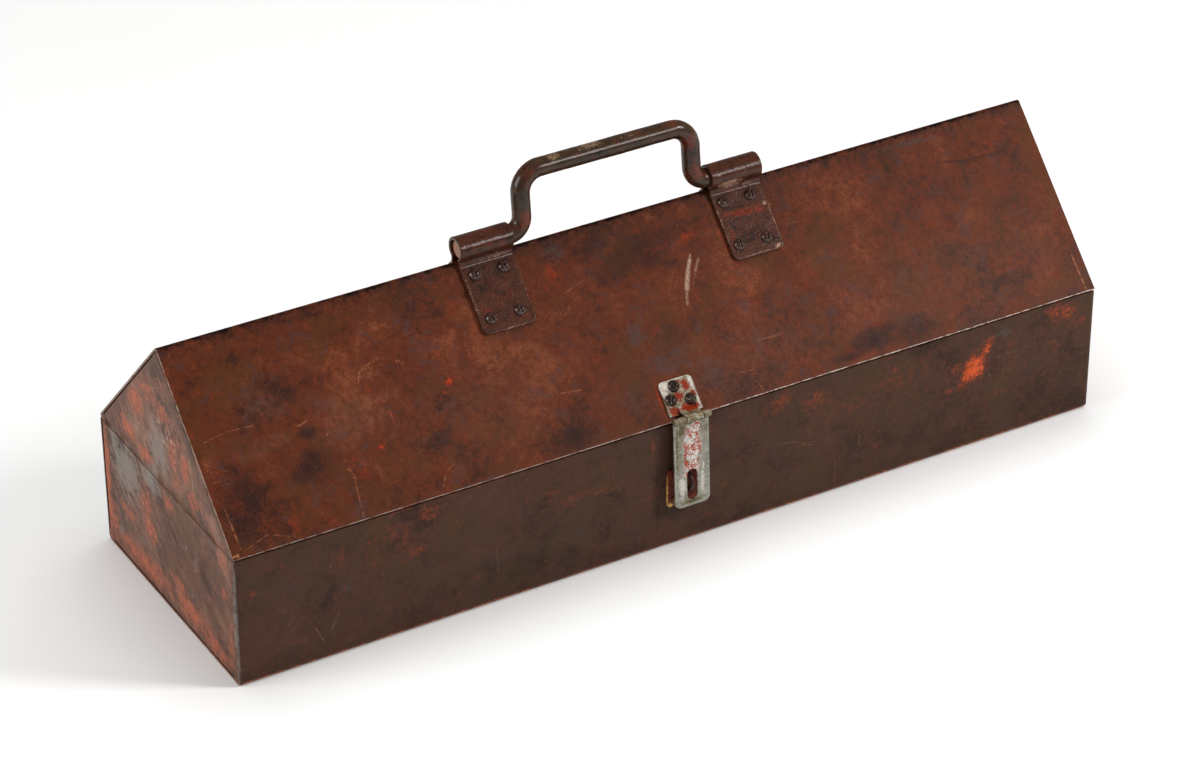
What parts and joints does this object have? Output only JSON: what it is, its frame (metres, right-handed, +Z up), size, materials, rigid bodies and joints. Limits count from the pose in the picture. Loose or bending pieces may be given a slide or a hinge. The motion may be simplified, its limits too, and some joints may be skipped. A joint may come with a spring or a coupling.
{
  "type": "toolbox",
  "caption": "Long sheet-steel toolbox with a gabled hinged lid, a swinging rod handle in two riding straps, and a slotted hasp over a wire staple.",
  "frame": {"origin": "middle of the underside, on the surface the box stands on", "axes": "+X along the length towards the right end as seen from the hasp, +Y to the hinge side, +Z up"},
  "size_m": [0.61, 0.1984, 0.2366],
  "materials": {
    "roof_paint": "semi-gloss oxblood paint, mottled and scratched",
    "wall_paint": "darker brown-red paint, rust specks and worn lower edge",
    "end_paint": "grey-mauve brown paint with rust streaks",
    "rod_steel": "bronze-brown patina",
    "strap_steel": "dark oxidised steel with rust patches",
    "screw_steel": "dark oxidised steel",
    "nut_steel": "dull oxidised steel",
    "galvanised_steel": "dull zinc with red paint remains",
    "pin_steel": "worn steel",
    "staple_steel": "orange-red rust and paint",
    "loop_steel": "dark worn steel wire",
    "hinge_steel": "painted over steel, worn at the knuckles"
  },
  "bodies": {
    "base": {"base_wrap": "wall_paint", "base_end_left": "end_paint", "base_end_right": "end_paint", "staple_plate": "staple_steel", "staple_loop": "loop_steel", "staple_rivets": "staple_steel", "hinge_base_leaf_left": "hinge_steel", "hinge_base_leaf_right": "hinge_steel", "hinge_pin_left": "pin_steel", "hinge_pin_right": "pin_steel", "hinge_base_rivets": "hinge_steel"},
    "lid": {"lid_roof": "roof_paint", "lid_gable_left": "end_paint", "lid_gable_right": "end_paint", "handle_strap_left": "strap_steel", "handle_strap_right": "strap_steel", "strap_screws_left": "screw_steel", "strap_screws_right": "screw_steel", "strap_nuts_left": "nut_steel", "strap_nuts_right": "nut_steel", "hasp_plate": "galvanised_steel", "hasp_plate_screws": "screw_steel", "hasp_plate_nuts": "nut_steel", "hinge_lid_leaf_left": "hinge_steel", "hinge_lid_leaf_right": "hinge_steel", "hinge_lid_rivets": "hinge_steel"},
    "handle": {"carry_handle": "rod_steel"},
    "hasp": {"hasp_strap": "galvanised_steel", "hasp_pin": "pin_steel"}
  },
  "joints": [
    {"name": "lid_hinge", "type": "hinge", "parent": "base", "child": "lid", "pos_m": [0, 0.09475, 0.09162], "axis": [-1, 0, 0], "range_deg": [0, 150]},
    {"name": "handle_swing", "type": "hinge", "parent": "lid", "child": "handle", "pos_m": [0, 0, 0.1924], "axis": [1, 0, 0], "range_deg": [-121, 132]},
    {"name": "hasp_swing", "type": "hinge", "parent": "lid", "child": "hasp", "pos_m": [0, -0.098, 0.0927], "axis": [-1, 0, 0], "range_deg": [-4.4, 225]}
  ]
}
